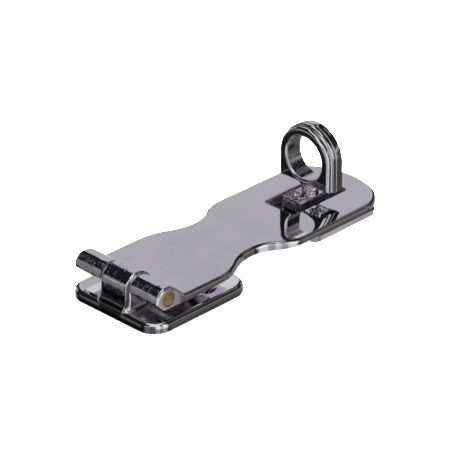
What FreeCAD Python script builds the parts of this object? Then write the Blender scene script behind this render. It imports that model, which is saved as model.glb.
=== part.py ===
import FreeCAD, Part
import math
import os

# Swivel eye hasp, closed, with its eye turned across the slot. Millimetres.
# X runs from the hinge towards the round end, Z is up.
# The origin is on the hinge base's underside, straight below the hinge pin.

os.makedirs("parts", exist_ok=True)

# Hinge base casting
BASE_WIDTH = 27.4
BASE_FRONT_X = -5.2
BASE_LENGTH = 29.4
BASE_THICK = 2.4
BASE_CORNER_R = 4.8
BASE_TOP_EDGE_R = 1.1
BASE_FOOT_BEVEL = 0.25

# Hinge pin and knuckles
PIN_Z = 7.3
PIN_R = 1.7
PIN_END_CHAMFER = 0.15
PIN_RUNNING_GAP = 0.05
KNUCKLE_FRONT = 3.38
KNUCKLE_TOP = 2.6
KNUCKLE_CROWN_X = -0.3
KNUCKLE_JAW_DROP = 0.4
SHOULDER_X = 4.0
SHOULDER_LIFT = 0.05
SHOULDER_SOFT = 1.08
POST_PROUD = 0.3
POST_JAW_DROP = 0.6
POST_WAIST_Z = 4.7
POST_FLARE_Z = 1.4
POST_FRONT_INSET = 0.06
POST_FLARE_SOFT = 1.8
POST_FRONT_X = -3.95
POST_WIDTH = 8.8
POST_EDGE_R = 1.2
POST_BACK_X = 3.6
POST_FOOT_R = 0.8
KNUCKLE_SIDE_GAP = 0.15
NOTCH_BACK_X = 4.4

# Strap plate
STRAP_TOP_Z = 6.7
STRAP_UNDER_Z = 4.6
STRAP_FLAT_HALF = 8.0
STRAP_EDGE_DROP = 0.45
STRAP_HINGE_WIDTH = 25.6
STRAP_EYE_END_EXTRA = 0.6
STRAP_WAIST_WIDTH = 18.0
STRAP_WAIST_START_X = 15.6
STRAP_WAIST_X = 28.8
STRAP_WAIST_END_X = 41.2
STRAP_TIP_X = 70.8
STRAP_TIP_R = 20.0
STRAP_TIP_CORNER_R = 9.0
STRAP_RIM_R = 0.7
STRAP_FOOT_BEVEL = 0.35
FAIRING_R = 2.1
CHIN_X = -1.0

# Slot in the strap, measured from the eye's axis
SLOT_BEFORE_EYE = 10.2
SLOT_LENGTH = 17.4
SLOT_WIDTH = 9.2
SLOT_CORNER_R = 0.9
SLOT_EDGE_R = 0.3

# Eye plate with its boss
PLATE_CENTRE_BEFORE_EYE = 1.75
PLATE_LENGTH = 20.9
PLATE_SIDE_STEP = 0.2
PLATE_THICK = 1.65
PLATE_CORNER_R = 2.1
PLATE_DRAFT = 0.14
PLATE_FOOT_BEVEL = 0.3
PLATE_TO_STRAP_GAP = 0.05
BOSS_BEFORE_EYE = 6.8
BOSS_LENGTH = 13.1
BOSS_WIDTH = 5.8
BOSS_PROUD = 0.7
BOSS_INTO_PLATE = 0.6
BOSS_CORNER_R = 1.1
BOSS_EDGE_R = 0.35
DISH_RIM = 0.7
DISH_DEPTH = 0.25
DISH_CORNER_R = 0.8
NUB_R = 0.9
NUB_BEFORE_EYE = 3.7
NUB_Y = 1.1

# Swivel eye
EYE_TO_TIP = 13.8
EYE_WIDTH = 14.8
EYE_SIDE_WIDTH = 15.24
EYE_THICK = 4.8
EYE_FOOT_Z = 9.6
EYE_HOLE_Z = 16.15
EYE_HOLE_R = 5.2
EYE_HOLE_FRONT_R = 0.6
EYE_HOLE_BACK_BEVEL = 0.2
EYE_ROLL_R = 0.65
EYE_BEAD_R = 7.85
EYE_BEAD_CROWN = 0.08
EYE_BEAD_1 = (1.6, 2.5)
EYE_BEAD_2 = (2.8, 4.45)
EYE_BACK_BEVEL = 0.35
EYE_GROOVE_DEPTH = 0.42
EYE_GROOVE_BANK = 0.15
EYE_SEAM_R = 0.14
EYE_FOOT_CHAMFER = 0.8
NECK_R = 1.95
NECK_FLARE = 0.4
NECK_FLARE_DROP = 0.7
NECK_INTO_EYE = 0.6
NECK_GAP = 0.1
STEM_R = 1.6
STEM_RUNNING_GAP = 0.05
PEEN_R = 2.35
PEEN_THICK = 0.7
PEEN_INSET = 0.05
PEEN_BEVEL = 0.4
PEEN_POCKET_R = 2.75
PEEN_POCKET_DEPTH = 1.4
SPRING_THICK = 0.28
SPRING_R = 2.6
SPRING_GAP = 0.04
SPRING_BORE_GAP = 0.12

# Countersunk screw holes
SCREW_R = 1.85
SCREW_HEAD_R = 3.5
BASE_SCREW_X = 14.5
BASE_SCREW_Y = 7.6
PLATE_SCREW_HEAD_R = 3.1
PLATE_SCREW_Y = 8.2

EYE_X = STRAP_TIP_X - EYE_TO_TIP
SLOT_START_X = EYE_X - SLOT_BEFORE_EYE
PLATE_CENTRE_X = EYE_X - PLATE_CENTRE_BEFORE_EYE
BOSS_START_X = EYE_X - BOSS_BEFORE_EYE
STRAP_EYE_WIDTH = STRAP_HINGE_WIDTH + STRAP_EYE_END_EXTRA
PLATE_WIDTH = STRAP_EYE_WIDTH - 2 * PLATE_SIDE_STEP
PLATE_TOP_Z = STRAP_UNDER_Z - PLATE_TO_STRAP_GAP
PLATE_UNDER_Z = PLATE_TOP_Z - PLATE_THICK
BOSS_TOP_Z = STRAP_TOP_Z + BOSS_PROUD
POCKET_TOP_Z = PLATE_UNDER_Z + PEEN_POCKET_DEPTH


def vec(x, y, z):
    return FreeCAD.Vector(x, y, z)


def line(a, b):
    return Part.LineSegment(a, b).toShape()


def arc(a, middle, b):
    return Part.Arc(a, middle, b).toShape()


def solid_from(edges, direction):
    wire = Part.Wire(Part.__sortEdges__(edges))
    return Part.Face(wire).extrude(direction)


def rounded_block(x0, x1, width, corner_r, z0, z1):
    block = Part.makeBox(x1 - x0, width, z1 - z0, vec(x0, -width / 2, z0))
    uprights = [e for e in block.Edges if abs(e.tangentAt(e.FirstParameter).z) > 0.99]
    return block.makeFillet(corner_r, uprights)


def flat_edges(shape, z):
    found = []
    for edge in shape.Edges:
        box = edge.BoundBox
        if abs(box.ZMin - z) < 0.01 and abs(box.ZMax - z) < 0.01:
            found.append(edge)
    return found


def cross_bore(radius, half_length, z):
    start = vec(0, -half_length, z)
    return Part.makeCylinder(radius, 2 * half_length, start, vec(0, 1, 0))


def countersink(x, y, z_top, z_bottom, head_r):
    depth = head_r - SCREW_R
    hole = Part.makeCylinder(SCREW_R, z_top - z_bottom + 2, vec(x, y, z_bottom - 1))
    cone = Part.makeCone(SCREW_R, head_r + 0.5, depth + 0.5, vec(x, y, z_top - depth))
    return hole.fuse(cone)


def bezier(half, poles):
    curve = Part.BezierCurve()
    curve.setPoles([vec(x, -half, z) for x, z in poles])
    return curve.toShape()


# A quarter turn in side view, from an upright start to a level end. The two shares set how square
# the turn is.
def quarter_turn(half, start, end, upright_share, level_share):
    rise = start[1] + upright_share * (end[1] - start[1])
    run = end[0] - level_share * (end[0] - start[0])
    return bezier(half, [start, (start[0], rise), (run, end[1]), end])


# The post rises almost flush with the front of the base plate and rolls over into the middle
# knuckle.
def hinge_post():
    half = POST_WIDTH / 2
    top_z = PIN_Z + KNUCKLE_TOP + POST_PROUD
    front = (POST_FRONT_X, PIN_Z - POST_JAW_DROP)
    crown = (KNUCKLE_CROWN_X, top_z)
    back = (POST_BACK_X, PIN_Z)
    flare_top = (POST_FRONT_X, POST_WAIST_Z)
    foot_x = BASE_FRONT_X + POST_FRONT_INSET
    foot_z = BASE_THICK / 4
    flare_end = (foot_x, POST_FLARE_Z)
    soft_top = (POST_FRONT_X, POST_WAIST_Z - POST_FLARE_SOFT)
    soft_end = (foot_x, POST_FLARE_Z + POST_FLARE_SOFT)
    flare = bezier(half, [flare_top, soft_top, soft_end, flare_end])
    rise = quarter_turn(half, front, crown, 0.66, 0.55)
    fall = quarter_turn(half, back, crown, 0.62, 0.56)
    corners = [back, (POST_BACK_X, foot_z), (foot_x, foot_z), flare_end]
    corners = [vec(x, -half, z) for x, z in corners]
    front_line = line(vec(flare_top[0], -half, flare_top[1]), vec(front[0], -half, front[1]))
    edges = [rise, fall, flare, front_line]
    edges = edges + [line(corners[i], corners[i + 1]) for i in range(3)]
    post = solid_from(edges, vec(0, POST_WIDTH, 0))
    rims = []
    for edge in post.Edges:
        box = edge.BoundBox
        on_side = abs(abs(box.YMin) - half) < 0.01 and box.YLength < 0.01
        if on_side and box.ZMax > 1.0 and box.ZLength > 0.5:
            rims.append(edge)
    return post.makeFillet(POST_EDGE_R, rims)


def hinge_base():
    x1 = BASE_FRONT_X + BASE_LENGTH
    plate = rounded_block(BASE_FRONT_X, x1, BASE_WIDTH, BASE_CORNER_R, 0, BASE_THICK)
    plate = plate.makeFillet(BASE_TOP_EDGE_R, flat_edges(plate, BASE_THICK))
    plate = plate.makeChamfer(BASE_FOOT_BEVEL, flat_edges(plate, 0))
    base = plate.fuse(hinge_post()).removeSplitter()
    foot = []
    for edge in flat_edges(base, BASE_THICK):
        box = edge.BoundBox
        if box.XMax < POST_BACK_X + 0.1 and abs(box.YMin) < POST_WIDTH / 2 + 0.1:
            foot.append(edge)
    base = base.makeFillet(POST_FOOT_R, [e for e in foot if e.BoundBox.XMin > BASE_FRONT_X + 1.6])
    base = base.cut(cross_bore(PIN_R, POST_WIDTH, PIN_Z))
    for side in (-1, 1):
        base = base.cut(countersink(BASE_SCREW_X, side * BASE_SCREW_Y, BASE_THICK, 0, SCREW_HEAD_R))
    return base


def hinge_pin():
    half = STRAP_HINGE_WIDTH / 2
    pin = cross_bore(PIN_R, half, PIN_Z)
    ends = [e for e in pin.Edges if e.BoundBox.YLength < 0.01]
    return pin.makeChamfer(PIN_END_CHAMFER, ends)


# One tangent S bend from a straight side into the waist, as two arcs.
def side_bend(x0, y0, x1, y1):
    dx = x1 - x0
    dy = y1 - y0
    radius = (dx * dx + dy * dy) / (4 * abs(dy))
    sweep = math.asin(abs(dx) / (2 * radius))
    sign = 1 if dy > 0 else -1
    middle = vec((x0 + x1) / 2, (y0 + y1) / 2, 0)
    part_x = radius * math.sin(sweep / 2)
    part_y = sign * radius * (1 - math.cos(sweep / 2))
    first = arc(vec(x0, y0, 0), vec(x0 + part_x, y0 + part_y, 0), middle)
    second = arc(middle, vec(x1 - part_x, y1 - part_y, 0), vec(x1, y1, 0))
    return [first, second]


def strap_side(side):
    hinge_y = side * STRAP_HINGE_WIDTH / 2
    waist_y = side * STRAP_WAIST_WIDTH / 2
    eye_y = side * STRAP_EYE_WIDTH / 2
    tip_centre_x = STRAP_TIP_X - STRAP_TIP_R
    corner_y = STRAP_EYE_WIDTH / 2 - STRAP_TIP_CORNER_R
    reach = STRAP_TIP_R - STRAP_TIP_CORNER_R
    corner_x = tip_centre_x + math.sqrt(reach * reach - corner_y * corner_y)
    turn = math.atan2(corner_y, corner_x - tip_centre_x)
    half_turn = (turn + math.pi / 2) / 2
    corner = vec(corner_x, side * corner_y, 0)
    r = STRAP_TIP_CORNER_R
    corner_mid = corner + vec(r * math.cos(half_turn), side * r * math.sin(half_turn), 0)
    corner_end = corner + vec(r * math.cos(turn), side * r * math.sin(turn), 0)
    centre = vec(tip_centre_x, 0, 0)
    tip_mid = centre + vec(STRAP_TIP_R * math.cos(turn / 2), side * STRAP_TIP_R * math.sin(turn / 2), 0)
    tip = vec(STRAP_TIP_X, 0, 0)
    edges = [line(vec(1.0, hinge_y, 0), vec(STRAP_WAIST_START_X, hinge_y, 0))]
    edges = edges + side_bend(STRAP_WAIST_START_X, hinge_y, STRAP_WAIST_X, waist_y)
    edges = edges + side_bend(STRAP_WAIST_X, waist_y, STRAP_WAIST_END_X, eye_y)
    edges.append(line(vec(STRAP_WAIST_END_X, eye_y, 0), vec(corner_x, eye_y, 0)))
    edges.append(arc(vec(corner_x, eye_y, 0), corner_mid, corner_end))
    edges.append(arc(corner_end, tip_mid, tip))
    return edges


# The waisted plate. Its top is flat in the middle and rolls off towards the long sides.
def strap_plate():
    half = STRAP_HINGE_WIDTH / 2
    edges = strap_side(1) + strap_side(-1) + [line(vec(1.0, half, 0), vec(1.0, -half, 0))]
    blank = solid_from(edges, vec(0, 0, STRAP_TOP_Z + 1))
    edge_y = max(STRAP_HINGE_WIDTH, STRAP_EYE_WIDTH) / 2 + 1
    run = STRAP_EYE_WIDTH / 2 - STRAP_FLAT_HALF
    roll_r = (run * run + STRAP_EDGE_DROP * STRAP_EDGE_DROP) / (2 * STRAP_EDGE_DROP)
    section = [line(vec(0, -STRAP_FLAT_HALF, STRAP_TOP_Z), vec(0, STRAP_FLAT_HALF, STRAP_TOP_Z))]
    ends = []
    for side in (-1, 1):
        points = []
        for reach in (STRAP_FLAT_HALF, (STRAP_FLAT_HALF + edge_y) / 2, edge_y):
            off = reach - STRAP_FLAT_HALF
            drop = roll_r - math.sqrt(roll_r * roll_r - off * off)
            points.append(vec(0, side * reach, STRAP_TOP_Z - drop))
        section.append(arc(points[0], points[1], points[2]))
        ends.append(vec(0, side * edge_y, STRAP_UNDER_Z))
        section.append(line(points[2], ends[-1]))
    section.append(line(ends[0], ends[1]))
    return blank.common(solid_from(section, vec(STRAP_TIP_X + 2, 0, 0)))


# The barrel's side outline: squarer in front, longer down the back, cut back below to a chin.
def strap_barrel():
    half = STRAP_HINGE_WIDTH / 2
    top_z = PIN_Z + KNUCKLE_TOP
    jaw = (-KNUCKLE_FRONT, PIN_Z - KNUCKLE_JAW_DROP)
    crown = (KNUCKLE_CROWN_X, top_z)
    shoulder = (SHOULDER_X, PIN_Z + SHOULDER_LIFT)
    rise = quarter_turn(half, jaw, crown, 0.67, 0.62)
    level_pole = (crown[0] + 0.44 * (shoulder[0] - crown[0]), top_z)
    sloping_pole = (shoulder[0] - SHOULDER_SOFT, shoulder[1] + SHOULDER_SOFT)
    fall = bezier(half, [crown, level_pole, sloping_pole, shoulder])
    into_strap = (STRAP_TOP_Z + STRAP_UNDER_Z) / 2
    reach_down = shoulder[1] - into_strap
    tail = (shoulder[0] + reach_down, into_strap)
    corners = [shoulder, tail, (tail[0], STRAP_UNDER_Z), (CHIN_X, STRAP_UNDER_Z), jaw]
    corners = [vec(x, -half, z) for x, z in corners]
    edges = [rise, fall] + [line(corners[i], corners[i + 1]) for i in range(4)]
    return solid_from(edges, vec(0, STRAP_HINGE_WIDTH, 0))


# The bore is cut first. Then the hollow behind the barrel is blended, and last the whole rim is
# rolled in one run.
def strap_blank():
    strap = strap_plate().fuse(strap_barrel()).removeSplitter()
    bore_r = PIN_R + PIN_RUNNING_GAP
    strap = strap.cut(cross_bore(bore_r, STRAP_HINGE_WIDTH, PIN_Z))
    hollow = []
    for edge in strap.Edges:
        box = edge.BoundBox
        behind_pin = box.XMin > PIN_R and box.XMax < STRAP_WAIST_START_X
        across = box.YLength > 2 * box.XLength and box.YLength > 1.0
        if across and behind_pin and STRAP_UNDER_Z + 0.5 < box.ZMin and box.ZMax < STRAP_TOP_Z + 0.1:
            hollow.append(edge)
    strap = strap.makeFillet(FAIRING_R, hollow)
    rim = []
    for edge in strap.Edges:
        box = edge.BoundBox
        across = box.YLength > STRAP_HINGE_WIDTH - 1.5
        flat_below = abs(box.ZMax - STRAP_UNDER_Z) < 0.01
        upright = box.ZLength > 1.2 and box.XLength < 0.01
        round_bore = edge.Curve.TypeId == "Part::GeomCircle" and abs(edge.Curve.Radius - bore_r) < 0.01
        if not across and not flat_below and not upright and not round_bore:
            rim.append(edge)
    return strap.makeFillet(STRAP_RIM_R, rim)


def hasp_strap():
    strap = strap_blank()
    under = flat_edges(strap, STRAP_UNDER_Z)
    under = [e for e in under if e.BoundBox.YLength < STRAP_HINGE_WIDTH - 2]
    strap = strap.makeChamfer(STRAP_FOOT_BEVEL, under)
    notch_half = POST_WIDTH / 2 + KNUCKLE_SIDE_GAP
    notch_front_x = -2 * KNUCKLE_FRONT
    notch_corner = vec(notch_front_x, -notch_half, STRAP_UNDER_Z - 1)
    notch_height = 2 * (PIN_Z + KNUCKLE_TOP - STRAP_UNDER_Z)
    notch = Part.makeBox(NOTCH_BACK_X - notch_front_x, 2 * notch_half, notch_height, notch_corner)
    strap = strap.cut(notch)
    slot_end = SLOT_START_X + SLOT_LENGTH
    z0 = STRAP_UNDER_Z - 1
    z1 = STRAP_TOP_Z + 1
    slot = rounded_block(SLOT_START_X, slot_end, SLOT_WIDTH, SLOT_CORNER_R, z0, z1)
    strap = strap.cut(slot)
    lip = []
    for edge in strap.Edges:
        box = edge.BoundBox
        inside = box.XMin > SLOT_START_X - 0.1 and box.XMax < slot_end + 0.1
        if inside and abs(box.YMin) < SLOT_WIDTH / 2 + 0.1 and box.ZMin > STRAP_UNDER_Z + 1.0:
            lip.append(edge)
    return strap.makeFillet(SLOT_EDGE_R, lip)


def rounded_outline(x0, x1, width, corner_r, z):
    block = rounded_block(x0, x1, width, corner_r, z, z + 1)
    return Part.Wire(Part.__sortEdges__(flat_edges(block, z)))


# The oblong boss, with the shallow dish and the nub that the casting leaves on its front half.
def eye_boss():
    boss_end = BOSS_START_X + BOSS_LENGTH
    boss_foot = PLATE_TOP_Z - BOSS_INTO_PLATE
    boss = rounded_block(BOSS_START_X, boss_end, BOSS_WIDTH, BOSS_CORNER_R, boss_foot, BOSS_TOP_Z)
    boss = boss.makeFillet(BOSS_EDGE_R, flat_edges(boss, BOSS_TOP_Z))
    dish_start = BOSS_START_X + DISH_RIM
    dish_end = EYE_X - NECK_R - DISH_RIM
    dish_width = BOSS_WIDTH - 2 * DISH_RIM
    dish_foot = BOSS_TOP_Z - DISH_DEPTH
    dish = rounded_block(dish_start, dish_end, dish_width, DISH_CORNER_R, dish_foot, BOSS_TOP_Z + 1)
    nub_place = vec(EYE_X - NUB_BEFORE_EYE, NUB_Y, BOSS_TOP_Z - NUB_R / 2)
    nub = Part.makeSphere(NUB_R, nub_place, vec(1, 0, 0))
    return boss.cut(dish).fuse(nub)


# The small plate under the round end. Its sides draw in downwards, as a casting's do.
def eye_plate():
    x0 = PLATE_CENTRE_X - PLATE_LENGTH / 2
    x1 = PLATE_CENTRE_X + PLATE_LENGTH / 2
    low_width = PLATE_WIDTH - 2 * PLATE_DRAFT
    low_corner_r = PLATE_CORNER_R - PLATE_DRAFT
    low = rounded_outline(x0 + PLATE_DRAFT, x1 - PLATE_DRAFT, low_width, low_corner_r, PLATE_UNDER_Z)
    high = rounded_outline(x0, x1, PLATE_WIDTH, PLATE_CORNER_R, PLATE_TOP_Z)
    plate = Part.makeLoft([low, high], True, True)
    plate = plate.makeChamfer(PLATE_FOOT_BEVEL, flat_edges(plate, PLATE_UNDER_Z))
    plate = plate.fuse(eye_boss())
    stem_hole = Part.makeCylinder(STEM_R + STEM_RUNNING_GAP, 10, vec(EYE_X, 0, PLATE_UNDER_Z - 1))
    pocket = Part.makeCylinder(PEEN_POCKET_R, PEEN_POCKET_DEPTH + 1, vec(EYE_X, 0, PLATE_UNDER_Z - 1))
    plate = plate.cut(stem_hole).cut(pocket)
    for side in (-1, 1):
        y = side * PLATE_SCREW_Y
        plate = plate.cut(countersink(PLATE_CENTRE_X, y, PLATE_TOP_Z, PLATE_UNDER_Z, PLATE_SCREW_HEAD_R))
    return plate.removeSplitter()


# A dished washer above the peened end: its rim bears on the pocket, its middle on the peen.
def disc_spring():
    inner = STEM_R + SPRING_BORE_GAP
    rim_top = POCKET_TOP_Z - SPRING_GAP
    eye_top = PLATE_UNDER_Z + PEEN_INSET + PEEN_THICK + SPRING_GAP + SPRING_THICK
    a = vec(inner, 0, eye_top - SPRING_THICK)
    b = vec(SPRING_R, 0, rim_top - SPRING_THICK)
    c = vec(SPRING_R, 0, rim_top)
    d = vec(inner, 0, eye_top)
    wire = Part.makePolygon([a, b, c, d, a])
    ring = Part.Face(wire).revolve(vec(0, 0, 0), vec(0, 0, 1), 360)
    ring.translate(vec(EYE_X, 0, 0))
    return ring


# The eye's rim across its thickness: a rolled front flange, then two round beads with grooves
# between. The function place turns a thickness and a half width into a point.
def rim_edges(place):
    flange = EYE_WIDTH / 2
    bead = EYE_BEAD_R
    groove = EYE_GROOVE_DEPTH
    front = -EYE_THICK / 2
    back = EYE_THICK / 2
    edge = bead - EYE_BEAD_CROWN
    start_1 = front + EYE_BEAD_1[0]
    end_1 = front + EYE_BEAD_1[1]
    start_2 = front + EYE_BEAD_2[0]
    end_2 = front + EYE_BEAD_2[1]
    flange_end = start_1 - groove - EYE_GROOVE_BANK
    cut_in = EYE_ROLL_R * (1 - math.cos(math.pi / 4))
    roll_start = place(front, flange - EYE_ROLL_R)
    roll_end = place(front + EYE_ROLL_R, flange)
    edges = [arc(roll_start, place(front + cut_in, flange - cut_in), roll_end)]
    edges.append(line(roll_end, place(flange_end, flange)))
    groove_middle = place((flange_end + start_1) / 2, flange - groove)
    edges.append(arc(place(flange_end, flange), groove_middle, place(start_1, edge)))
    edges.append(arc(place(start_1, edge), place((start_1 + end_1) / 2, bead), place(end_1, edge)))
    groove_middle = place((end_1 + start_2) / 2, edge - groove / 2)
    edges.append(arc(place(end_1, edge), groove_middle, place(start_2, edge)))
    edges.append(arc(place(start_2, edge), place((start_2 + end_2) / 2, bead), place(end_2, edge)))
    edges.append(line(place(end_2, edge), place(back, edge - EYE_BACK_BEVEL)))
    return edges


def eye_arch():
    edges = rim_edges(lambda x, r: vec(x, r, 0))
    front = edges[0].Vertexes[0].Point
    back = edges[-1].Vertexes[-1].Point
    edges.append(line(vec(front.x, 0, 0), front))
    edges.append(line(back, vec(back.x, 0, 0)))
    edges.append(line(vec(back.x, 0, 0), vec(front.x, 0, 0)))
    face = Part.Face(Part.Wire(Part.__sortEdges__(edges)))
    half_disc = face.revolve(vec(0, 0, 0), vec(1, 0, 0), 180)
    half_disc.translate(vec(EYE_X, 0, EYE_HOLE_Z))
    return half_disc


# The legs run straight down from the arch. Their front and back feet are bevelled, and the whole
# eye is ground flat at both sides, which ends the beads in a seam above the legs.
def eye_legs():
    edges = []
    for side in (-1, 1):
        edges = edges + rim_edges(lambda x, y: vec(EYE_X + x, side * y, EYE_FOOT_Z))
    count = len(edges) // 2
    edges.append(line(edges[0].Vertexes[0].Point, edges[count].Vertexes[0].Point))
    edges.append(line(edges[count - 1].Vertexes[-1].Point, edges[2 * count - 1].Vertexes[-1].Point))
    legs = solid_from(edges, vec(0, 0, EYE_HOLE_Z - EYE_FOOT_Z))
    for side in (-1, 1):
        face_x = EYE_X + side * EYE_THICK / 2
        inner_x = face_x - side * EYE_FOOT_CHAMFER
        corners = [(face_x, EYE_FOOT_Z), (face_x, EYE_FOOT_Z + EYE_FOOT_CHAMFER), (inner_x, EYE_FOOT_Z)]
        corners = [vec(x, -EYE_WIDTH, z) for x, z in corners]
        wedge = Part.Face(Part.makePolygon(corners + corners[:1])).extrude(vec(0, 2 * EYE_WIDTH, 0))
        legs = legs.cut(wedge)
    return legs


# Neck, stem and peened head, turned about the swivel axis.
def eye_stem():
    neck_foot = BOSS_TOP_Z + NECK_GAP
    peen_foot = PLATE_UNDER_Z + PEEN_INSET
    peen_top = peen_foot + PEEN_THICK
    a = vec(0, 0, EYE_FOOT_Z + NECK_INTO_EYE)
    b = vec(NECK_R + NECK_FLARE, 0, EYE_FOOT_Z + NECK_INTO_EYE)
    c = vec(NECK_R + NECK_FLARE, 0, EYE_FOOT_Z)
    d = vec(NECK_R, 0, EYE_FOOT_Z - NECK_FLARE_DROP)
    e = vec(NECK_R, 0, neck_foot)
    f = vec(STEM_R, 0, neck_foot)
    g = vec(STEM_R, 0, peen_top)
    h = vec(PEEN_R, 0, peen_top)
    k = vec(PEEN_R - PEEN_BEVEL, 0, peen_foot)
    m = vec(0, 0, peen_foot)
    flare_middle = vec(NECK_R + NECK_FLARE / 4, 0, EYE_FOOT_Z - NECK_FLARE_DROP * 3 / 7)
    flare = arc(c, flare_middle, d)
    edges = [line(a, b), line(b, c), flare, line(d, e), line(e, f), line(f, g)]
    edges = edges + [line(g, h), line(h, k), line(k, m), line(m, a)]
    face = Part.Face(Part.Wire(Part.__sortEdges__(edges)))
    stem = face.revolve(vec(0, 0, 0), vec(0, 0, 1), 360)
    stem.translate(vec(EYE_X, 0, 0))
    return stem


def hole_edges(eye, face_x):
    found = []
    for edge in eye.Edges:
        box = edge.BoundBox
        on_face = box.XLength < 0.01 and abs(box.XMin - face_x) < 0.01
        is_round = edge.Curve.TypeId == "Part::GeomCircle"
        if on_face and is_round and abs(edge.Curve.Radius - EYE_HOLE_R) < 0.01:
            found.append(edge)
    return found


# A fine seam across the beads, where the ground flats begin.
def side_seam(side):
    flat_y = EYE_SIDE_WIDTH / 2
    seam_z = EYE_HOLE_Z + math.sqrt(EYE_BEAD_R * EYE_BEAD_R - flat_y * flat_y)
    start = vec(EYE_X - EYE_THICK / 2 + EYE_BEAD_1[0], side * flat_y, seam_z)
    return Part.makeCylinder(EYE_SEAM_R, EYE_THICK, start, vec(1, 0, 0))


def swivel_eye():
    corner = vec(EYE_X - EYE_THICK, -EYE_SIDE_WIDTH / 2, EYE_FOOT_Z)
    between_flats = Part.makeBox(2 * EYE_THICK, EYE_SIDE_WIDTH, EYE_WIDTH * 2, corner)
    eye = eye_arch().fuse(eye_legs()).common(between_flats).fuse(eye_stem())
    eye = eye.cut(side_seam(1)).cut(side_seam(-1))
    start = vec(EYE_X - EYE_THICK, 0, EYE_HOLE_Z)
    eye = eye.cut(Part.makeCylinder(EYE_HOLE_R, 2 * EYE_THICK, start, vec(1, 0, 0)))
    eye = eye.removeSplitter()
    eye = eye.makeFillet(EYE_HOLE_FRONT_R, hole_edges(eye, EYE_X - EYE_THICK / 2))
    return eye.makeChamfer(EYE_HOLE_BACK_BEVEL, hole_edges(eye, EYE_X + EYE_THICK / 2))


NODES = {
    "hinge_base": hinge_base,
    "hinge_pin": hinge_pin,
    "hasp_strap": hasp_strap,
    "eye_plate": eye_plate,
    "disc_spring": disc_spring,
    "swivel_eye": swivel_eye,
}

for name, make in NODES.items():
    shape = make()
    if shape.ShapeType != "Solid":
        shape = shape.Solids[0]
    shape.exportStep("parts/" + name + ".step")
    print(name, "volume", round(shape.Volume, 1), "valid", shape.isValid())
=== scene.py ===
# %% [markdown]
# # A small chrome hasp, cell by cell
# The object is a swivel eye hasp: a waisted strap on a pinned hinge, and an arched eye that
# turns to hold the strap down. Its rigid pieces come from the CAD model. They could be built
# again here with subdivision surfaces, but the CAD solids already have the right fillets, so
# this lesson spends its effort on finishes, on the rough casting skin and on the light, which
# is what makes polished metal look right.

# %% Load the CAD frame
import bpy
import math
from mathutils import Matrix, Vector, noise


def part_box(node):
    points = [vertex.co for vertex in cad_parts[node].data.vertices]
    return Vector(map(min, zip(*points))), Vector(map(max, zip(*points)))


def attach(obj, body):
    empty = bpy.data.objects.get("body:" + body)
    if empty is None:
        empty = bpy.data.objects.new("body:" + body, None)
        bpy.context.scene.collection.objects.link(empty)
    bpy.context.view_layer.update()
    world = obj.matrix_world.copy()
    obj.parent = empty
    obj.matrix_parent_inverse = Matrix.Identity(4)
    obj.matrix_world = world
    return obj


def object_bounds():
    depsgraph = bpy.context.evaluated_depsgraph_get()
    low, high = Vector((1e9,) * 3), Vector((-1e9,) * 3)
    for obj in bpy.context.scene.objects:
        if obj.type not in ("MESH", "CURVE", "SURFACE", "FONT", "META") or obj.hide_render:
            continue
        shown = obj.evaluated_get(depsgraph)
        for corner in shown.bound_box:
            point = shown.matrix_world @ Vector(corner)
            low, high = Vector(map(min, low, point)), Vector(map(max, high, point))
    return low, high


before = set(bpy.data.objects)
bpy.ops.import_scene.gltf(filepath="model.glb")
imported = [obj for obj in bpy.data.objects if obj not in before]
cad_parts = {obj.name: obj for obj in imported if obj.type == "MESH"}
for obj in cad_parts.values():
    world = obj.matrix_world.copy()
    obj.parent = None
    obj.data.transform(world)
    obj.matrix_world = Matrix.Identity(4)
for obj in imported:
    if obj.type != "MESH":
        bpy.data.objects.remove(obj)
cad_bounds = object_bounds()
mm = 0.001
print("CAD nodes:", sorted(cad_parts))

# %% [markdown]
# ## Where things are
# The hinge pin lies over x = 0, and the strap runs from there along X. The eye's axis is read
# from the CAD piece, so what belongs to the slot, the boss and the eye is placed from it. The
# eye plate's box tells how high its boss stands.

# %% Places and directions
boss_low, boss_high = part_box("eye_plate")
eye_low, eye_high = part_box("swivel_eye")
EYE_AXIS_X = (eye_low[0] + eye_high[0]) / 2
X = (1.0, 0.0, 0.0)
Y = (0.0, 1.0, 0.0)
Z = (0.0, 0.0, 1.0)
print("the eye's axis is at x =", round(EYE_AXIS_X / mm, 2), "mm")
print("plate and boss span z", round(boss_low[2] / mm, 2), "to", round(boss_high[2] / mm, 2), "mm")

# %% [markdown]
# ## Node helpers
# Every finish below is a small graph of shader nodes. Three helpers keep those graphs short:
# one adds a node and fills in its sockets, one wires two sockets, and one opens a new shader
# group with named inputs and outputs.

# %% Helpers for shader graphs
def add_node(tree, kind, **values):
    node = tree.nodes.new("ShaderNode" + kind)
    for key, value in values.items():
        if hasattr(node, key):
            setattr(node, key, value)
        else:
            node.inputs[key.replace("_", " ")].default_value = value
    return node


def wire(tree, source, target):
    tree.links.new(source, target)


def new_group(name, inputs, outputs):
    tree = bpy.data.node_groups.new(name, "ShaderNodeTree")
    for label, kind, value in inputs:
        socket = tree.interface.new_socket(name=label, in_out="INPUT", socket_type=kind)
        if value is not None:
            socket.default_value = value
    for label, kind in outputs:
        tree.interface.new_socket(name=label, in_out="OUTPUT", socket_type=kind)
    start = tree.nodes.new("NodeGroupInput")
    end = tree.nodes.new("NodeGroupOutput")
    return tree, start, end


print("node helpers ready")

# %% [markdown]
# ## Cast ripple
# A zinc casting is never quite flat under its chrome: the skin ripples a little, most of all on
# the knuckles, where polishing wheels reach badly. A noise at two scales gives that height.
# A real displacement would move far too many faces for ripples this small, so it stays a bump.

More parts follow.
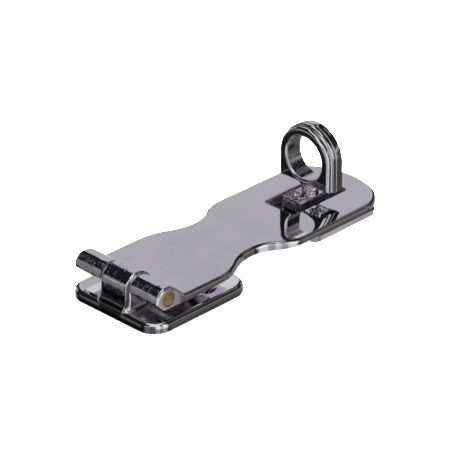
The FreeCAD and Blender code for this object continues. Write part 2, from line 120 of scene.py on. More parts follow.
# %% Group: cast ripple
NUMBER = "NodeSocketFloat"
VECTOR = "NodeSocketVector"
ripple_tree, ripple_in, ripple_out = new_group(
    "cast_ripple",
    [("Place", VECTOR, None), ("Broad Scale", NUMBER, 160.0), ("Fine Scale", NUMBER, 900.0),
     ("Fine Share", NUMBER, 0.3)],
    [("Height", NUMBER)])
broad = add_node(ripple_tree, "TexNoise", Detail=2.0, Roughness=0.5)
fine = add_node(ripple_tree, "TexNoise", Detail=3.0, Roughness=0.6)
weigh = add_node(ripple_tree, "Math", operation="MULTIPLY_ADD")
wire(ripple_tree, ripple_in.outputs["Place"], broad.inputs["Vector"])
wire(ripple_tree, ripple_in.outputs["Place"], fine.inputs["Vector"])
wire(ripple_tree, ripple_in.outputs["Broad Scale"], broad.inputs["Scale"])
wire(ripple_tree, ripple_in.outputs["Fine Scale"], fine.inputs["Scale"])
wire(ripple_tree, fine.outputs["Fac"], weigh.inputs[0])
wire(ripple_tree, ripple_in.outputs["Fine Share"], weigh.inputs[1])
wire(ripple_tree, broad.outputs["Fac"], weigh.inputs[2])
wire(ripple_tree, weigh.outputs[0], ripple_out.inputs["Height"])
print("group:", ripple_tree.name)

# %% [markdown]
# ## Hairlines
# Polished chrome that has been handled carries very fine scratches in a few directions. Noise
# that is stretched along one axis and cut off high leaves thin broken lines. Two sets, turned
# against each other, look less like a pattern than one.

# %% Group: hairlines
hair_tree, hair_in, hair_out = new_group(
    "hairlines",
    [("Place", VECTOR, None), ("Density", NUMBER, 1.0), ("Cut", NUMBER, 0.66)],
    [("Mask", NUMBER)])
sets = []
for turn, stretch in ((0.5, (1500.0, 60.0, 400.0)), (-0.85, (60.0, 1200.0, 400.0))):
    lay = add_node(hair_tree, "Mapping", Rotation=(0.0, 0.0, turn), Scale=stretch)
    streak = add_node(hair_tree, "TexNoise", Detail=1.0, Roughness=0.5)
    keep = add_node(hair_tree, "MapRange", interpolation_type="SMOOTHSTEP", From_Max=0.8)
    wire(hair_tree, hair_in.outputs["Place"], lay.inputs["Vector"])
    wire(hair_tree, lay.outputs["Vector"], streak.inputs["Vector"])
    wire(hair_tree, hair_in.outputs["Density"], streak.inputs["Scale"])
    wire(hair_tree, streak.outputs["Fac"], keep.inputs["Value"])
    wire(hair_tree, hair_in.outputs["Cut"], keep.inputs["From Min"])
    sets.append(keep.outputs["Result"])
both = add_node(hair_tree, "Math", operation="MAXIMUM")
wire(hair_tree, sets[0], both.inputs[0])
wire(hair_tree, sets[1], both.inputs[1])
wire(hair_tree, both.outputs[0], hair_out.inputs["Mask"])
print("group:", hair_tree.name)

# %% [markdown]
# ## Haze
# Fingers leave a faint cloudy film, which only shows as a slightly softer reflection. One wide
# noise, squeezed to a soft mask, is enough for it.

# %% Group: haze
haze_tree, haze_in, haze_out = new_group(
    "handling_haze",
    [("Place", VECTOR, None), ("Scale", NUMBER, 90.0)],
    [("Mask", NUMBER)])
cloud = add_node(haze_tree, "TexNoise", Detail=4.0, Roughness=0.62, Distortion=0.4)
squeeze = add_node(haze_tree, "MapRange", interpolation_type="SMOOTHSTEP",
                   From_Min=0.42, From_Max=0.72)
wire(haze_tree, haze_in.outputs["Place"], cloud.inputs["Vector"])
wire(haze_tree, haze_in.outputs["Scale"], cloud.inputs["Scale"])
wire(haze_tree, cloud.outputs["Fac"], squeeze.inputs["Value"])
wire(haze_tree, squeeze.outputs["Result"], haze_out.inputs["Mask"])
print("group:", haze_tree.name)

# %% [markdown]
# ## Zone mask
# One casting is polished in one place and left rough in another. A mask that rises between two
# planes tells such places apart. It works in the piece's own space, so it moves with the piece.
# Painted vertex weights would do it too, but a mask made of nodes leaves the CAD mesh as it is.

# %% Group: zone mask
zone_tree, zone_in, zone_out = new_group(
    "zone_mask",
    [("Place", VECTOR, None), ("Across", VECTOR, None), ("None At", NUMBER, 0.0),
     ("Full At", NUMBER, 1.0)],
    [("Mask", NUMBER)])
reach = add_node(zone_tree, "VectorMath", operation="DOT_PRODUCT")
climb = add_node(zone_tree, "MapRange", interpolation_type="SMOOTHSTEP")
wire(zone_tree, zone_in.outputs["Place"], reach.inputs[0])
wire(zone_tree, zone_in.outputs["Across"], reach.inputs[1])
wire(zone_tree, reach.outputs["Value"], climb.inputs["Value"])
wire(zone_tree, zone_in.outputs["None At"], climb.inputs["From Min"])
wire(zone_tree, zone_in.outputs["Full At"], climb.inputs["From Max"])
wire(zone_tree, climb.outputs["Result"], zone_out.inputs["Mask"])
print("group:", zone_tree.name)

# %% [markdown]
# ## Chrome
# Bright decorative chrome is a mirror with a cool grey tint. The material is one Principled
# shader, fully metallic, whose roughness rises a little in the haze and along the hairlines, and
# whose normal follows the cast ripple. Each piece gets its own amounts, because the strap's face
# was polished flat, while the base and the eye still wave a little.

# %% Chrome material
CHROME_TINT = (0.80, 0.79, 0.82, 1.0)
CHROME_DULL = (0.62, 0.61, 0.62, 1.0)
FILM_SHARE = 0.35
SCRATCH_ROUGHNESS = 0.12


def use_group(tree, group, place, **values):
    node = tree.nodes.new("ShaderNodeGroup")
    node.node_tree = group
    for key, value in values.items():
        node.inputs[key.replace("_", " ")].default_value = value
    wire(tree, place, node.inputs["Place"])
    return node


def polished_chrome(name, ripple, scale, fine_share, smooth, softened):
    finish = bpy.data.materials.new(name)
    finish.use_nodes = True
    tree = finish.node_tree
    shader = tree.nodes["Principled BSDF"]
    shader.inputs["Metallic"].default_value = 1.0
    place = add_node(tree, "TexCoord").outputs["Object"]
    haze = use_group(tree, haze_tree, place)
    lines = use_group(tree, hair_tree, place)
    wave = use_group(tree, ripple_tree, place, Broad_Scale=scale, Fine_Share=fine_share)
    tint = add_node(tree, "Mix", data_type="RGBA", A=CHROME_TINT, B=CHROME_DULL)
    film = add_node(tree, "Math", operation="MULTIPLY")
    film.inputs[1].default_value = FILM_SHARE
    wire(tree, haze.outputs["Mask"], film.inputs[0])
    wire(tree, film.outputs[0], tint.inputs["Factor"])
    wire(tree, tint.outputs["Result"], shader.inputs["Base Color"])
    soft = add_node(tree, "MapRange", To_Min=smooth, To_Max=softened)
    mark = add_node(tree, "Math", operation="MULTIPLY_ADD")
    mark.inputs[1].default_value = SCRATCH_ROUGHNESS
    wire(tree, haze.outputs["Mask"], soft.inputs["Value"])
    wire(tree, lines.outputs["Mask"], mark.inputs[0])
    wire(tree, soft.outputs["Result"], mark.inputs[2])
    wire(tree, mark.outputs[0], shader.inputs["Roughness"])
    bump = add_node(tree, "Bump", Strength=1.0, Distance=ripple)
    wire(tree, wave.outputs["Height"], bump.inputs["Height"])
    wire(tree, bump.outputs["Normal"], shader.inputs["Normal"])
    return finish


print("chrome helper ready")

# %% [markdown]
# ## Masks for a stretch or a facing
# A zone is a stretch of the piece (its Object place) or a facing of its skin (its Normal), along
# X, Y or Z. It is none at the first value and full at the second, whichever is larger. Both long
# sides of the hasp are alike, so a facing along Y is taken without its sign. A ring counts the
# distance from an axis along X instead. Masks multiplied together keep only where they overlap.

# %% Mask helpers
def zone(finish, measure, axis, none_at, full_at):
    tree = finish.node_tree
    source = tree.nodes["Texture Coordinate"].outputs[measure]
    if measure == "Normal" and axis == Y:
        both_ways = add_node(tree, "VectorMath", operation="ABSOLUTE")
        wire(tree, source, both_ways.inputs[0])
        source = both_ways.outputs["Vector"]
    mask = use_group(tree, zone_tree, source, Across=axis, None_At=none_at, Full_At=full_at)
    return mask.outputs["Mask"]


def ring(finish, centre, none_at, full_at):
    tree = finish.node_tree
    from_centre = add_node(tree, "VectorMath", operation="SUBTRACT")
    from_centre.inputs[1].default_value = centre
    in_plane = add_node(tree, "VectorMath", operation="MULTIPLY")
    in_plane.inputs[1].default_value = (0.0, 1.0, 1.0)
    radius = add_node(tree, "VectorMath", operation="LENGTH")
    wire(tree, tree.nodes["Texture Coordinate"].outputs["Object"], from_centre.inputs[0])
    wire(tree, from_centre.outputs["Vector"], in_plane.inputs[0])
    wire(tree, in_plane.outputs["Vector"], radius.inputs[0])
    mask = use_group(tree, zone_tree, radius.outputs["Value"], Across=X, None_At=none_at, Full_At=full_at)
    return mask.outputs["Mask"]


def overlap(finish, masks):
    tree = finish.node_tree
    shared = masks[0]
    for mask in masks[1:]:
        product = add_node(tree, "Math", operation="MULTIPLY")
        wire(tree, shared, product.inputs[0])
        wire(tree, mask, product.inputs[1])
        shared = product.outputs[0]
    return shared


print("mask helpers ready")

# %% [markdown]
# ## Marks on part of a piece
# Three marks change a finish inside a mask. Roughen adds a second bump over the first, from
# ripples stretched as asked, and gives back its height. Fleck makes that height's peaks duller,
# or the whole mask if the cut is 0. Shade darkens the metal's colour itself: it is painted
# shade, which stands in for shade and for dark reflections. Each takes over the shader's socket
# from whatever fed it before, so marks can be laid one over another, as layers in a paint program are.

# %% Mark helpers
FLECK_EDGE = 0.08
GRAIN_FINE_SCALE = 2.6


def source_of(tree, label):
    return tree.nodes["Principled BSDF"].inputs[label].links[0].from_socket


def roughen(finish, mask, depth, stretch, fine_share=0.5):
    tree = finish.node_tree
    lay = add_node(tree, "Mapping", Scale=stretch)
    wire(tree, tree.nodes["Texture Coordinate"].outputs["Object"], lay.inputs["Vector"])
    grain = use_group(tree, ripple_tree, lay.outputs["Vector"], Broad_Scale=1.0,
                      Fine_Scale=GRAIN_FINE_SCALE, Fine_Share=fine_share)
    bump = add_node(tree, "Bump", Distance=depth)
    wire(tree, overlap(finish, [mask, grain.outputs["Height"]]), bump.inputs["Height"])
    wire(tree, source_of(tree, "Normal"), bump.inputs["Normal"])
    wire(tree, bump.outputs["Normal"], tree.nodes["Principled BSDF"].inputs["Normal"])
    return grain.outputs["Height"]


def fleck(finish, mask, grain, cut, rough):
    tree = finish.node_tree
    pick = add_node(tree, "MapRange", interpolation_type="SMOOTHSTEP",
                    From_Min=cut, From_Max=cut + FLECK_EDGE)
    wire(tree, grain, pick.inputs["Value"])
    add = add_node(tree, "Math", operation="MULTIPLY_ADD")
    add.inputs[1].default_value = rough
    wire(tree, overlap(finish, [mask, pick.outputs["Result"]]), add.inputs[0])
    wire(tree, source_of(tree, "Roughness"), add.inputs[2])
    wire(tree, add.outputs[0], tree.nodes["Principled BSDF"].inputs["Roughness"])


# Painted shade: multiplies the metal's colour inside the mask, to stand in for shade and dark
# reflections.
def shade(finish, mask, share):
    tree = finish.node_tree
    darker = add_node(tree, "Mix", data_type="RGBA", blend_type="MULTIPLY", B=(share, share, share, 1.0))
    wire(tree, mask, darker.inputs["Factor"])
    wire(tree, source_of(tree, "Base Color"), darker.inputs["A"])
    wire(tree, darker.outputs["Result"], tree.nodes["Principled BSDF"].inputs["Base Color"])


print("mark helpers ready")

# %% [markdown]
# ## The strap's finish
# The strap's flat face is a true mirror. Its knuckles were polished by hand, so they wave, and
# on their brows, the front upper quarter, the casting's grain still shows under the chrome. Their
# end faces were filed flat and are dull. The slot's walls are as cast. A material for each face
# would end in hard lines, while a zone can fade.

# %% Strap chrome
KNUCKLE_FADE = (4.2 * mm, 2.6 * mm)
SLOT_START_FADE = (EYE_AXIS_X - 12.0 * mm, EYE_AXIS_X - 11.0 * mm)
SLOT_END_FADE = (EYE_AXIS_X + 9.0 * mm, EYE_AXIS_X + 8.0 * mm)
SLOT_SIDE_NONE = 5.5 * mm
SLOT_SIDE_FULL = 5.0 * mm

strap_chrome = polished_chrome("strap_chrome", 0.004 * mm, scale=160.0, fine_share=0.1,
                               smooth=0.03, softened=0.06)
by_the_pin = zone(strap_chrome, "Object", X, *KNUCKLE_FADE)
knuckles = overlap(strap_chrome, [by_the_pin, zone(strap_chrome, "Normal", Y, 0.8, 0.5)])
knuckle_brows = overlap(strap_chrome, [
    knuckles, zone(strap_chrome, "Normal", X, -0.2, -0.5), zone(strap_chrome, "Normal", Z, 0.35, 0.55)])
roughen(strap_chrome, knuckles, 0.35 * mm, stretch=(120.0, 240.0, 120.0), fine_share=0.0)
brow_grain = roughen(strap_chrome, knuckle_brows, 0.08 * mm, stretch=(500.0, 2400.0, 500.0))
fleck(strap_chrome, knuckle_brows, brow_grain, cut=0.8, rough=0.4)
filed_ends = overlap(strap_chrome, [by_the_pin, zone(strap_chrome, "Normal", Y, 0.85, 0.98)])
fleck(strap_chrome, filed_ends, brow_grain, cut=0.0, rough=0.35)
slot_walls = overlap(strap_chrome, [
    zone(strap_chrome, "Normal", Z, 0.8, 0.5),
    zone(strap_chrome, "Object", X, *SLOT_END_FADE),
    zone(strap_chrome, "Object", X, *SLOT_START_FADE),
    zone(strap_chrome, "Object", Y, SLOT_SIDE_NONE, SLOT_SIDE_FULL),
    zone(strap_chrome, "Object", Y, -SLOT_SIDE_NONE, -SLOT_SIDE_FULL)])
wall_grain = roughen(strap_chrome, slot_walls, 0.3 * mm, stretch=(500.0, 500.0, 500.0))
fleck(strap_chrome, slot_walls, wall_grain, cut=0.0, rough=0.4)
print("strap finish nodes:", len(strap_chrome.node_tree.nodes))

# %% [markdown]
# ## The base's finish
# The middle knuckle waves as the strap's do. Below it, the post's front and the foot's front rim
# are painted darker, as painted shade, and so is the middle of each rolled corner between the
# post's front and its sides. The foot itself ripples a little, its long sides are painted a little
# greyer as painted shade, and its top below the near knuckle is softer, where no wheel reaches.

# %% Base chrome
POST_NEAR_FADE = (-3.5 * mm, -3.3 * mm)
POST_FAR_FADE = (3.2 * mm, 2.9 * mm)

base_chrome = polished_chrome("base_chrome", 0.012 * mm, scale=170.0, fine_share=0.15,
                              smooth=0.05, softened=0.12)
middle_knuckle = overlap(base_chrome, [
    zone(base_chrome, "Object", Z, 3.2 * mm, 4.2 * mm), zone(base_chrome, "Normal", Y, 0.8, 0.5)])
roughen(base_chrome, middle_knuckle, 0.3 * mm, stretch=(120.0, 240.0, 120.0), fine_share=0.0)
knuckle_grain = roughen(base_chrome, middle_knuckle, 0.05 * mm, stretch=(900.0, 1500.0, 900.0))
fleck(base_chrome, middle_knuckle, knuckle_grain, cut=0.86, rough=0.4)
# Painted shade: the post's foot and the foot's front rim are darkened in colour.
foot_front_shade = overlap(base_chrome, [
    zone(base_chrome, "Object", Z, 5.6 * mm, 4.6 * mm), zone(base_chrome, "Normal", Z, 0.75, 0.6),
    zone(base_chrome, "Normal", X, -0.5, -0.8)])
shade(base_chrome, foot_front_shade, 0.35)
# Painted shade: the post's front face is darkened nearly to black.
post_face_shade = overlap(base_chrome, [
    zone(base_chrome, "Object", Z, 6.2 * mm, 5.4 * mm), zone(base_chrome, "Normal", X, -0.8, -0.95),
    zone(base_chrome, "Object", Y, *POST_NEAR_FADE), zone(base_chrome, "Object", Y, *POST_FAR_FADE)])
shade(base_chrome, post_face_shade, 0.2)
foot = zone(base_chrome, "Object", Z, 3.2 * mm, 2.6 * mm)
# Painted shade: the foot's long sides are darkened a little in colour.
shade(base_chrome, overlap(base_chrome, [foot, zone(base_chrome, "Normal", Y, 0.9, 0.98)]), 0.6)
# Painted shade: the middle of each rolled corner is darkened, so its highlight shows as two lines.
post_corner_shade = overlap(base_chrome, [
    zone(base_chrome, "Object", Z, 3.0 * mm, 3.4 * mm), zone(base_chrome, "Normal", X, -0.35, -0.5),
    zone(base_chrome, "Normal", Y, 0.45, 0.6)])
shade(base_chrome, post_corner_shade, 0.15)
foot_grain = roughen(base_chrome, foot, 0.015 * mm, stretch=(160.0, 160.0, 160.0))
fleck(base_chrome, foot, foot_grain, cut=0.88, rough=0.12)
below_knuckle = overlap(base_chrome, [
    foot, zone(base_chrome, "Normal", Z, 0.8, 0.95), zone(base_chrome, "Object", Y, -3.6 * mm, -4.6 * mm),
    zone(base_chrome, "Object", X, 9.0 * mm, 5.0 * mm)])
fleck(base_chrome, below_knuckle, foot_grain, cut=0.0, rough=0.14)
print("base finish nodes:", len(base_chrome.node_tree.nodes))

# %% [markdown]
# ## The eye plate's finish
# Only the plate's rim is polished. The boss's sides are as cast, and the plate's top, seen at the
# bottom of the slot, is painted dark, as painted shade inside the slot.

# %% Eye plate chrome
plate_chrome = polished_chrome("plate_chrome", 0.02 * mm, scale=260.0, fine_share=0.25,
                               smooth=0.06, softened=0.14)
boss_sides = zone(plate_chrome, "Object", Z, 4.8 * mm, 5.3 * mm)
side_grain = roughen(plate_chrome, boss_sides, 0.14 * mm, stretch=(450.0, 450.0, 450.0))
fleck(plate_chrome, boss_sides, side_grain, cut=0.0, rough=0.12)
# Painted shade: the plate's top inside the slot is darkened in colour.
slot_floor_shade = overlap(plate_chrome, [
    zone(plate_chrome, "Object", Z, 6.0 * mm, 5.4 * mm), zone(plate_chrome, "Normal", Z, 0.7, 0.9)])
shade(plate_chrome, slot_floor_shade, 0.25)
print("eye plate finish nodes:", len(plate_chrome.node_tree.nodes))

# %% [markdown]
# ## The eye's finish
# The beads are polished, but the hole's wall keeps rings from the core that cast it, and the
# sides are ground flat with a belt, which leaves upright lines; their metal is also painted darker, as
# painted shade.

# %% Eye chrome
EYE_HOLE_CENTRE = (EYE_AXIS_X, 0.0, 16.15 * mm)
EYE_HOLE_R = 5.2 * mm

eye_chrome = polished_chrome("eye_chrome", 0.012 * mm, scale=240.0, fine_share=0.25,
                             smooth=0.04, softened=0.09)
hole_wall = ring(eye_chrome, EYE_HOLE_CENTRE, EYE_HOLE_R + 0.25 * mm, EYE_HOLE_R + 0.05 * mm)
hole_grain = roughen(eye_chrome, hole_wall, 0.05 * mm, stretch=(2600.0, 350.0, 350.0))
fleck(eye_chrome, hole_wall, hole_grain, cut=0.78, rough=0.2)
ground_sides_lines_and_shade = zone(eye_chrome, "Normal", Y, 0.95, 0.99)
roughen(eye_chrome, ground_sides_lines_and_shade, 0.05 * mm, stretch=(1600.0, 1600.0, 240.0))
# Painted shade: the flat sides' colour is darkened; only the upright lines above are real texture.
shade(eye_chrome, ground_sides_lines_and_shade, 0.5)
print("eye finish nodes:", len(eye_chrome.node_tree.nodes))

# %% [markdown]
# ## The boss top's finish
# The rough skin on the boss is chromed too. What lies low in it is painted nearly black, as
# painted shade in its pits.

# %% Boss top chrome
boss_chrome = polished_chrome("boss_chrome", 0.01 * mm, scale=900.0, fine_share=0.6,
                              smooth=0.04, softened=0.1)
# Painted shade: below this height the skin's colour is darkened nearly to black.
pits = zone(boss_chrome, "Object", Z, 7.47 * mm, 7.27 * mm)
shade(boss_chrome, pits, 0.12)
print("chrome finishes:", [m.name for m in bpy.data.materials if "chrome" in m.name])

# %% [markdown]
# ## Brass pin and spring steel
# The hinge pin is plain brass wire, cut off and only deburred, so its end is dull brown and
# scratched. The disc spring is hidden in its pocket and shows only as a thin grey edge from
# below.

# %% Brass and steel materials
def plain_metal(name, bright, dull, smooth, rough, grain_scale):
    finish = bpy.data.materials.new(name)
    finish.use_nodes = True
    tree = finish.node_tree
    shader = tree.nodes["Principled BSDF"]
    shader.inputs["Metallic"].default_value = 1.0
    place = add_node(tree, "TexCoord").outputs["Object"]
    haze = use_group(tree, haze_tree, place, Scale=grain_scale)
    lines = use_group(tree, hair_tree, place, Density=2.0, Cut=0.55)
    tint = add_node(tree, "Mix", data_type="RGBA", A=bright, B=dull)
    wire(tree, haze.outputs["Mask"], tint.inputs["Factor"])
    wire(tree, tint.outputs["Result"], shader.inputs["Base Color"])
    soft = add_node(tree, "MapRange", To_Min=smooth, To_Max=rough)
    wire(tree, haze.outputs["Mask"], soft.inputs["Value"])
    wire(tree, soft.outputs["Result"], shader.inputs["Roughness"])
    bump = add_node(tree, "Bump", Distance=0.02 * mm)
    wire(tree, lines.outputs["Mask"], bump.inputs["Height"])
    wire(tree, bump.outputs["Normal"], shader.inputs["Normal"])
    return finish


pin_brass = plain_metal("pin_brass", (0.62, 0.45, 0.22, 1), (0.26, 0.17, 0.08, 1),
                        smooth=0.45, rough=0.7, grain_scale=900.0)
spring_steel = plain_metal("spring_steel", (0.5, 0.5, 0.5, 1), (0.3, 0.3, 0.31, 1),
                           smooth=0.25, rough=0.45, grain_scale=500.0)
print("plain metals:", pin_brass.name, spring_steel.name)

# %% [markdown]
# ## Dress the CAD pieces
# Each CAD piece keeps its mesh and its place and only takes its finish. A finish could be given
# to single faces, but the zones above already tell them apart.

# %% Give each piece its finish
finish_of = {"hinge_base": base_chrome, "hinge_pin": pin_brass, "hasp_strap": strap_chrome,
             "eye_plate": plate_chrome, "disc_spring": spring_steel, "swivel_eye": eye_chrome}
for node_name, finish in finish_of.items():
    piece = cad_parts[node_name]
    piece.data.materials.clear()
    piece.data.materials.append(finish)
print("finished nodes:", len(finish_of))

# %% [markdown]
# ## The boss's rough top
# The boss stands up through the slot, and nobody polishes it: its top keeps the pits and ridges
# of the casting under the chrome. That relief is deep enough to see, so it is real geometry: a
# fine grid laid over each half of the boss's top, lifted by three sizes of noise, with its border
# turned down over the edge. The front half follows the shallow dish in the casting, and its
# rim is calmer. The turning eye's neck stands between the two halves. The rises are in mm.

# %% Height of the boss's top
BOSS_START_X = EYE_AXIS_X - 6.8 * mm
BOSS_END_X = BOSS_START_X + 13.1 * mm
BOSS_HALF = 2.9 * mm
BOSS_TOP_Z = 7.4 * mm
DISH_RIM_START = 0.45 * mm
DISH_RIM_END = 0.95 * mm
DISH_DEPTH = 0.25 * mm
RIM_CALM = 0.7
EDGE_RISE = 0.3 * mm
SKIN_LIFT = 0.2
SKIN_PEAK = 0.14
BLOB_RISE = 0.6
BLOB_SIZE = 0.8 * mm
RIDGE_RISE = 0.16
RIDGE_SIZE = 0.55 * mm
GRAIN_RISE = 0.05
GRAIN_SIZE = 0.26 * mm


def ease(value, low, high):
    share = min(1.0, max(0.0, (value - low) / (high - low)))
    return share * share * (3.0 - 2.0 * share)


def rough_height(x, y, from_edge, dished):
    level = BOSS_TOP_Z
    share = 1.0
    if dished:
        rim = 1.0 - ease(from_edge, DISH_RIM_START, DISH_RIM_END)
        level = BOSS_TOP_Z - DISH_DEPTH * (1.0 - rim)
        share = 1.0 - RIM_CALM * rim
    blobs = noise.noise(Vector((x, y, 0.004)) / BLOB_SIZE)
    ridges = 1.0 - 2.0 * abs(noise.noise(Vector((x, y, 0.011)) / RIDGE_SIZE))
    grain = noise.noise(Vector((x, y, 0.021)) / GRAIN_SIZE)
    relief = min(SKIN_PEAK, BLOB_RISE * blobs + RIDGE_RISE * ridges + GRAIN_RISE * grain)
    return level + (SKIN_LIFT + share * relief) * mm * ease(from_edge, 0.0, EDGE_RISE)


middle_height = rough_height(EYE_AXIS_X - 4.5 * mm, 0.0, BOSS_HALF, True)
print("height in the dish:", round(middle_height / mm, 2), "mm")

# %% [markdown]
# ## The skin's mesh
# Both halves are made by one function and joined into one mesh, which rides on the strap's body,
# because the eye plate does. A subdivided plane with a displace modifier would give the same
# surface, but points worked out in code can turn the border down in the same pass.

# %% Boss top skin
NECK_CLEAR = 2.25 * mm
END_CLEAR = 0.02 * mm
GRID_STEP = 0.09 * mm
BORDER_DROP = 0.3 * mm
BORDER_RUN = 0.28 * mm


def skin_patch(x0, x1, dished):
    columns = round((x1 - x0) / GRID_STEP)
    rows = round(2 * BOSS_HALF / GRID_STEP)
    points = []
    for i in range(columns + 1):
        x = x0 + (x1 - x0) * i / columns
        for j in range(rows + 1):
            y = -BOSS_HALF + 2 * BOSS_HALF * j / rows
            from_edge = min(x - x0, x1 - x, y + BOSS_HALF, BOSS_HALF - y)
            fall = BORDER_DROP * (1.0 - ease(from_edge, 0.0, BORDER_RUN))
            points.append((x, y, rough_height(x, y, from_edge, dished) - fall))
    faces = []
    for i in range(columns):
        for j in range(rows):
            first = i * (rows + 1) + j
            faces.append((first, first + rows + 1, first + rows + 2, first + 1))
    return points, faces


front_points, front_faces = skin_patch(BOSS_START_X + END_CLEAR, EYE_AXIS_X - NECK_CLEAR, True)
back_points, back_faces = skin_patch(EYE_AXIS_X + NECK_CLEAR, BOSS_END_X - END_CLEAR, False)
shift = len(front_points)
back_faces = [tuple(corner + shift for corner in face) for face in back_faces]
skin_mesh = bpy.data.meshes.new("boss_top_skin")
skin_mesh.from_pydata(front_points + back_points, [], front_faces + back_faces)
skin_mesh.polygons.foreach_set("use_smooth", [True] * len(skin_mesh.polygons))
boss_skin = bpy.data.objects.new("boss_top_skin", skin_mesh)
bpy.context.scene.collection.objects.link(boss_skin)
skin_mesh.materials.append(boss_chrome)
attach(boss_skin, "strap")
print("boss skin faces:", len(skin_mesh.polygons))

# %% [markdown]
# ## Floor
# The floor is a plain pale sheet just below the base. It isn't seen in reflections, because the
# panels below it shape those better than an even white would.

# %% Floor sheet
FLOOR_HALF = 3.0
FLOOR_GAP = 0.2 * mm
FLOOR_PALE = (0.9, 0.9, 0.9, 1)


def flat_sheet(name, half, height):
    mesh = bpy.data.meshes.new(name)
    corners = [(-half, -half, height), (half, -half, height), (half, half, height), (-half, half, height)]
    mesh.from_pydata(corners, [], [(0, 1, 2, 3)])
    sheet = bpy.data.objects.new(name, mesh)
    bpy.context.scene.collection.objects.link(sheet)
    return sheet


floor = flat_sheet("floor", FLOOR_HALF, cad_bounds[0][2] - FLOOR_GAP)
floor_paint = bpy.data.materials.new("floor_paint")
floor_paint.use_nodes = True
floor_paint.node_tree.nodes["Principled BSDF"].inputs["Base Color"].default_value = FLOOR_PALE
floor_paint.node_tree.nodes["Principled BSDF"].inputs["Roughness"].default_value = 0.9
floor.data.materials.append(floor_paint)
floor.visible_glossy = False
print("floor at", round(floor.data.vertices[0].co.z, 5))

# %% [markdown]
# ## Camera
# A small product is photographed from some way off with a long lens, which keeps its far end
# from shrinking. The camera looks along an azimuth and an elevation at a point near the strap's
# middle, so its three axes are worked out here instead of aimed with a constraint.

# %% Camera
VIEW_AZIMUTH = math.radians(45.39)
VIEW_ELEVATION = math.radians(27.70)
VIEW_ROLL = math.radians(-0.26)
VIEW_TARGET = Vector((0.032204, 0.000957, 0.006379))
VIEW_DISTANCE = 0.56845
VIEW_LENS = 202.62
level_right = Vector((math.cos(VIEW_AZIMUTH), -math.sin(VIEW_AZIMUTH), 0))
level_ahead = Vector((math.sin(VIEW_AZIMUTH), math.cos(VIEW_AZIMUTH), 0))
ahead = level_ahead * math.cos(VIEW_ELEVATION) - Vector((0, 0, math.sin(VIEW_ELEVATION)))
level_up = level_ahead * math.sin(VIEW_ELEVATION) + Vector((0, 0, math.cos(VIEW_ELEVATION)))
right = level_right * math.cos(VIEW_ROLL) + level_up * math.sin(VIEW_ROLL)
up = level_up * math.cos(VIEW_ROLL) - level_right * math.sin(VIEW_ROLL)
camera_data = bpy.data.cameras.new("camera")
camera_data.lens = VIEW_LENS
camera_data.sensor_width = 36.0
camera_data.clip_start = 0.01
camera = bpy.data.objects.new("camera", camera_data)
turn = Matrix((right, up, -ahead)).transposed()
camera.matrix_world = Matrix.Translation(VIEW_TARGET - ahead * VIEW_DISTANCE) @ turn.to_4x4()
bpy.context.scene.collection.objects.link(camera)
bpy.context.scene.camera = camera
print("camera at", [round(v, 3) for v in camera.location])

# %% [markdown]
# ## Surroundings
# Polished metal shows its surroundings more than itself. The sky is a dark studio with soft
# panels: a pale one ahead, which the strap's face mirrors, strips at both sides, which draw the
# rims and the knuckles, and brighter walls behind. Real panels would be meshes with lamps, but
# panels painted on the sky can't be seen in the picture and throw no shadow. First come two
# angles for every direction: how far it turns from straight ahead, and how far it rises.

# %% Sky directions
world = bpy.data.worlds.new("studio")
bpy.context.scene.world = world
world.use_nodes = True
sky = world.node_tree
backdrop = sky.nodes["Background"]
direction = add_node(sky, "TexCoord").outputs["Generated"]


def along(axis):
    dot = add_node(sky, "VectorMath", operation="DOT_PRODUCT")
    dot.inputs[1].default_value = axis
    wire(sky, direction, dot.inputs[0])
    return dot.outputs["Value"]


def calc(operation, *terms):
    node = add_node(sky, "Math", operation=operation)
    for socket, term in zip(node.inputs, terms):
        wire(sky, term, socket)
    return node.outputs[0]


turn_angle = calc("ARCTAN2", along(level_right), along(level_ahead))
rise_angle = calc("ARCSINE", along(Z))
print("sky directions ready")

# %% [markdown]
# ## Panels in the sky
# Each row gives a panel's colour, the span of its turn to the right and of its rise, both in
# degrees, and how soft its edge is. A later row covers an earlier one. A table like this is
# quicker to tune than one node after another, because a panel is moved by changing one row.

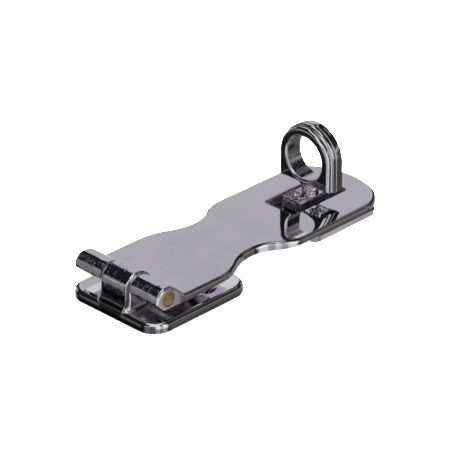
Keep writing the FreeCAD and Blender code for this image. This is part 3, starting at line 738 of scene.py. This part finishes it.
# %% Sky panels
STUDIO_DARK = (0.011, 0.011, 0.012, 1)
PANELS = [
    ("ground_all_round", (0.42, 0.40, 0.43), (-200, 200), (-100, -36), 4),
    ("panel_ahead", (0.50, 0.49, 0.53), (-12, 12), (-50, 42), 2),
    ("glow_under_the_strap", (0.96, 0.96, 1.0), (-16, 16), (-52, -12), 4),
    ("left_ahead", (0.50, 0.50, 0.52), (-58, -32), (-34, 24), 3),
    ("left_wall_low", (0.20, 0.20, 0.205), (-112, -80), (-22, 2), 3),
    ("left_strip", (0.45, 0.44, 0.46), (-112, -80), (1, 13), 3),
    ("right_ahead", (0.22, 0.21, 0.22), (14, 66), (-45, 14), 4),
    ("right_wall_high", (0.02, 0.02, 0.021), (66, 118), (22, 44), 4),
    ("right_strip", (0.34, 0.34, 0.35), (72, 108), (9, 19), 3),
    ("right_ahead_high", (0.17, 0.17, 0.175), (30, 66), (40, 51), 3),
    ("right_ground", (0.47, 0.43, 0.45), (60, 100), (-60, -31), 3),
    ("right_wall_low", (0.115, 0.113, 0.112), (70, 99), (-31, 4), 3),
    ("right_strip_low", (0.24, 0.235, 0.235), (70, 99), (-24, -8), 3),
    ("left_rear_low", (0.40, 0.40, 0.41), (-160, -128), (-34, 14), 7),
    ("left_rear_high", (0.85, 0.85, 0.87), (-168, -128), (14, 40), 6),
    ("right_rear_wall", (0.50, 0.50, 0.51), (108, 178), (-29, 34), 4),
    ("rear_middle", (0.22, 0.22, 0.225), (-190, -158), (-34, 34), 5),
    ("right_rear_strip", (1.0, 1.0, 1.02), (112, 136), (-29, 50), 5),
    ("rear_strip", (0.90, 0.90, 0.92), (154, 176), (-29, 34), 4),
    ("rear_right_overhead", (0.90, 0.90, 0.92), (146, 190), (34, 68), 5),
    ("rear_left_overhead", (0.90, 0.90, 0.92), (-190, -146), (34, 68), 5),
    ("strip_above_the_panel_ahead", (1.3, 1.3, 1.3), (-9, 9), (52, 70), 3),
    ("ceiling", (0.85, 0.85, 0.86), (-200, 200), (68, 92), 5),
]


def window(angle, span, soft):
    low, high = span
    enter = add_node(sky, "MapRange", interpolation_type="SMOOTHSTEP",
                     From_Min=math.radians(low - soft), From_Max=math.radians(low + soft))
    leave = add_node(sky, "MapRange", interpolation_type="SMOOTHSTEP",
                     From_Min=math.radians(high + soft), From_Max=math.radians(high - soft))
    wire(sky, angle, enter.inputs["Value"])
    wire(sky, angle, leave.inputs["Value"])
    return calc("MULTIPLY", enter.outputs["Result"], leave.outputs["Result"])


def panel(name, tone, turns, rises, soft):
    mask = calc("MULTIPLY", window(turn_angle, turns, soft), window(rise_angle, rises, soft))
    layer = add_node(sky, "Mix", data_type="RGBA", label=name, B=(*tone, 1))
    wire(sky, mask, layer.inputs["Factor"])
    return layer


layers = [panel(*row) for row in PANELS]
layers[0].inputs["A"].default_value = STUDIO_DARK
for below, above in zip(layers, layers[1:]):
    wire(sky, below.outputs["Result"], above.inputs["A"])
wire(sky, layers[-1].outputs["Result"], backdrop.inputs["Color"])
print("sky panels:", len(layers))

# %% [markdown]
# ## Lights
# The chrome takes its look from the sky, so the lamps are there for the floor and the rough
# patches. One large lamp overhead and four low ones round the hasp light the floor evenly, with
# no clear shadow. None shows as a bright square in the mirrors.

# %% Lamps
HASP_MIDDLE = (0.03, 0.0, 0.0)
TOP_LAMP_Z = 0.9
LOW_LAMP_Z = 0.32


def soft_light(name, place, size, watts):
    data = bpy.data.lights.new(name, "AREA")
    data.shape = "SQUARE"
    data.size = size
    data.energy = watts
    lamp = bpy.data.objects.new(name, data)
    lamp.location = place
    to_hasp = Vector(HASP_MIDDLE) - Vector(place)
    lamp.rotation_euler = to_hasp.to_track_quat("-Z", "Y").to_euler()
    lamp.visible_glossy = False
    bpy.context.scene.collection.objects.link(lamp)
    return lamp


soft_light("top_light", (HASP_MIDDLE[0], 0.0, TOP_LAMP_Z), size=1.6, watts=150.0)
for number, (x, y) in enumerate(((-0.9, -0.3), (0.0, -0.9), (0.9, -0.2), (0.0, 0.9))):
    soft_light("low_light_%d" % number, (x, y, LOW_LAMP_Z), size=0.5, watts=40.0)
bpy.context.scene.view_settings.view_transform = "Standard"
